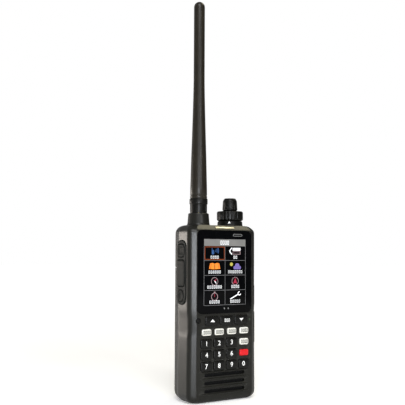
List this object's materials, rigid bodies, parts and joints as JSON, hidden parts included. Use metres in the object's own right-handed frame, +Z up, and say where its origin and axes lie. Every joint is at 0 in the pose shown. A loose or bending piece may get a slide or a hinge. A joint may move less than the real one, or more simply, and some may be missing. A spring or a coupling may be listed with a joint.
{
  "type": "handheld aviation radio",
  "caption": "Upright two-way airband handset with a colour menu screen, keypad, slotted speaker, side buttons, dual knob and a tall tapering whip antenna.",
  "frame": {"origin": "middle of the flat base the radio stands on", "axes": "+Z up along the body, display facing -Y, +X to the viewer's right"},
  "size_m": [0.0638, 0.0339, 0.31],
  "materials": {
    "case": "satin moulded plastic with a fine grain",
    "chassis": "die-cast metal under dark satin paint",
    "gasket": "dark silicone",
    "plate": "pale gold paint",
    "window": "gloss",
    "lcd": "lit screen under a gloss polariser",
    "holder": "plain",
    "mat": "silicone",
    "board": "green solder resist",
    "steel": "plain",
    "brass": "plain",
    "speaker": "plain",
    "mesh": "fine black cloth",
    "ceramic": "matte",
    "lens": "clear lens",
    "socket": "plain",
    "rubber": "matte moulded rubber",
    "key_dark": "semi-gloss",
    "key_pale": "semi-gloss",
    "key_red": "semi-gloss",
    "knob": "satin",
    "whip": "satin rubber",
    "battery": "satin",
    "cells": "shrink sleeve",
    "latch": "satin"
  },
  "bodies": {
    "radio_body": {"front_case": "case", "rear_chassis": "chassis", "case_gasket": "gasket", "name_plate": "plate", "display_window": "window", "lcd_panel": "lcd", "lcd_holder": "holder", "keypad_mat": "mat", "main_board": "board", "key_domes": "steel", "speaker_frame": "speaker", "speaker_cone": "speaker", "speaker_mesh": "mesh", "microphone": "steel", "shield_cans": "steel", "gps_patch": "ceramic", "control_block": "steel", "antenna_jack": "brass", "side_pad": "rubber", "side_switches": "steel", "status_led": "lens", "headset_jacks": "socket", "dc_jack": "socket", "case_screws": "steel", "battery_terminals": "brass"},
    "key_up": {"key_up": "key_dark"},
    "key_enter": {"key_enter": "key_dark"},
    "key_down": {"key_down": "key_dark"},
    "key_func": {"key_func": "key_pale"},
    "key_menu": {"key_menu": "key_pale"},
    "key_save": {"key_save": "key_pale"},
    "key_back": {"key_back": "key_pale"},
    "key_comm": {"key_comm": "key_pale"},
    "key_emergency": {"key_emergency": "key_red"},
    "key_0": {"key_0": "key_dark"},
    "key_1": {"key_1": "key_dark"},
    "key_2": {"key_2": "key_dark"},
    "key_3": {"key_3": "key_dark"},
    "key_4": {"key_4": "key_dark"},
    "key_5": {"key_5": "key_dark"},
    "key_6": {"key_6": "key_dark"},
    "key_7": {"key_7": "key_dark"},
    "key_8": {"key_8": "key_dark"},
    "key_9": {"key_9": "key_dark"},
    "ptt": {"ptt_button": "rubber"},
    "upper_side_button": {"side_button_top": "rubber"},
    "lower_side_button": {"side_button_bottom": "rubber"},
    "volume": {"volume_knob": "knob", "volume_shaft": "brass"},
    "squelch": {"squelch_knob": "knob", "squelch_shaft": "brass"},
    "antenna_core": {"antenna_rod": "brass"},
    "antenna": {"antenna_whip": "whip", "antenna_base": "knob"},
    "upper_cover": {"jack_cover_upper": "rubber"},
    "lower_cover": {"jack_cover_lower": "rubber"},
    "battery": {"battery_case": "battery", "battery_cells": "cells", "battery_cover": "case"},
    "latch": {"battery_latch": "latch"}
  },
  "joints": [
    {"name": "key_up_press", "type": "slide", "parent": "radio_body", "child": "key_up", "axis": [0, 1, 0], "range_m": [0, 0.0005], "stiffness_N_per_m": 1500, "springref_m": -0.0003},
    {"name": "key_enter_press", "type": "slide", "parent": "radio_body", "child": "key_enter", "axis": [0, 1, 0], "range_m": [0, 0.0005], "stiffness_N_per_m": 1500, "springref_m": -0.0003},
    {"name": "key_down_press", "type": "slide", "parent": "radio_body", "child": "key_down", "axis": [0, 1, 0], "range_m": [0, 0.0005], "stiffness_N_per_m": 1500, "springref_m": -0.0003},
    {"name": "key_func_press", "type": "slide", "parent": "radio_body", "child": "key_func", "axis": [0, 1, 0], "range_m": [0, 0.0005], "stiffness_N_per_m": 1500, "springref_m": -0.0003},
    {"name": "key_menu_press", "type": "slide", "parent": "radio_body", "child": "key_menu", "axis": [0, 1, 0], "range_m": [0, 0.0005], "stiffness_N_per_m": 1500, "springref_m": -0.0003},
    {"name": "key_save_press", "type": "slide", "parent": "radio_body", "child": "key_save", "axis": [0, 1, 0], "range_m": [0, 0.0005], "stiffness_N_per_m": 1500, "springref_m": -0.0003},
    {"name": "key_back_press", "type": "slide", "parent": "radio_body", "child": "key_back", "axis": [0, 1, 0], "range_m": [0, 0.0005], "stiffness_N_per_m": 1500, "springref_m": -0.0003},
    {"name": "key_comm_press", "type": "slide", "parent": "radio_body", "child": "key_comm", "axis": [0, 1, 0], "range_m": [0, 0.0005], "stiffness_N_per_m": 1500, "springref_m": -0.0003},
    {"name": "key_emergency_press", "type": "slide", "parent": "radio_body", "child": "key_emergency", "axis": [0, 1, 0], "range_m": [0, 0.0005], "stiffness_N_per_m": 1500, "springref_m": -0.0003},
    {"name": "key_0_press", "type": "slide", "parent": "radio_body", "child": "key_0", "axis": [0, 1, 0], "range_m": [0, 0.0005], "stiffness_N_per_m": 1500, "springref_m": -0.0003},
    {"name": "key_1_press", "type": "slide", "parent": "radio_body", "child": "key_1", "axis": [0, 1, 0], "range_m": [0, 0.0005], "stiffness_N_per_m": 1500, "springref_m": -0.0003},
    {"name": "key_2_press", "type": "slide", "parent": "radio_body", "child": "key_2", "axis": [0, 1, 0], "range_m": [0, 0.0005], "stiffness_N_per_m": 1500, "springref_m": -0.0003},
    {"name": "key_3_press", "type": "slide", "parent": "radio_body", "child": "key_3", "axis": [0, 1, 0], "range_m": [0, 0.0005], "stiffness_N_per_m": 1500, "springref_m": -0.0003},
    {"name": "key_4_press", "type": "slide", "parent": "radio_body", "child": "key_4", "axis": [0, 1, 0], "range_m": [0, 0.0005], "stiffness_N_per_m": 1500, "springref_m": -0.0003},
    {"name": "key_5_press", "type": "slide", "parent": "radio_body", "child": "key_5", "axis": [0, 1, 0], "range_m": [0, 0.0005], "stiffness_N_per_m": 1500, "springref_m": -0.0003},
    {"name": "key_6_press", "type": "slide", "parent": "radio_body", "child": "key_6", "axis": [0, 1, 0], "range_m": [0, 0.0005], "stiffness_N_per_m": 1500, "springref_m": -0.0003},
    {"name": "key_7_press", "type": "slide", "parent": "radio_body", "child": "key_7", "axis": [0, 1, 0], "range_m": [0, 0.0005], "stiffness_N_per_m": 1500, "springref_m": -0.0003},
    {"name": "key_8_press", "type": "slide", "parent": "radio_body", "child": "key_8", "axis": [0, 1, 0], "range_m": [0, 0.0005], "stiffness_N_per_m": 1500, "springref_m": -0.0003},
    {"name": "key_9_press", "type": "slide", "parent": "radio_body", "child": "key_9", "axis": [0, 1, 0], "range_m": [0, 0.0005], "stiffness_N_per_m": 1500, "springref_m": -0.0003},
    {"name": "ptt_press", "type": "slide", "parent": "radio_body", "child": "ptt", "axis": [1, 0, 0], "range_m": [0, 0.001], "stiffness_N_per_m": 2000, "springref_m": -0.0004},
    {"name": "upper_side_press", "type": "slide", "parent": "radio_body", "child": "upper_side_button", "axis": [1, 0, 0], "range_m": [0, 0.0005], "stiffness_N_per_m": 2000, "springref_m": -0.0003},
    {"name": "lower_side_press", "type": "slide", "parent": "radio_body", "child": "lower_side_button", "axis": [1, 0, 0], "range_m": [0, 0.0005], "stiffness_N_per_m": 2000, "springref_m": -0.0003},
    {"name": "volume_turn", "type": "hinge", "parent": "radio_body", "child": "volume", "pos_m": [0.0143, -0.0014, 0.145], "axis": [0, 0, -1], "range_deg": [0, 290]},
    {"name": "squelch_turn", "type": "hinge", "parent": "radio_body", "child": "squelch", "pos_m": [0.0143, -0.0014, 0.137], "axis": [0, 0, -1], "range_deg": [0, 290]},
    {"name": "antenna_lift", "type": "slide", "parent": "radio_body", "child": "antenna_core", "axis": [0, 0, 1], "range_m": [0, 0.00494]},
    {"name": "antenna_turn", "type": "hinge", "parent": "antenna_core", "child": "antenna", "pos_m": [-0.0154, -0.0024, 0.14], "axis": [0, 0, 1], "range_deg": [0, 2520]},
    {"name": "upper_cover_swing", "type": "hinge", "parent": "radio_body", "child": "upper_cover", "pos_m": [0.0306, 0.0009, 0.07865], "axis": [0, 0, 1], "range_deg": [0, 110]},
    {"name": "lower_cover_swing", "type": "hinge", "parent": "radio_body", "child": "lower_cover", "pos_m": [0.0306, 0.0009, 0.0536], "axis": [0, 0, 1], "range_deg": [0, 110]},
    {"name": "battery_slide", "type": "slide", "parent": "radio_body", "child": "battery", "axis": [0, 1, 0], "range_m": [0, 0.02]},
    {"name": "latch_swing", "type": "hinge", "parent": "battery", "child": "latch", "pos_m": [0, 0.0157, 0.011], "axis": [-1, 0, 0], "range_deg": [0, 60]}
  ],
  "couplings": [
    {"joint": "antenna_turn", "follows": "antenna_lift", "rad_per_m": 8904.7}
  ]
}
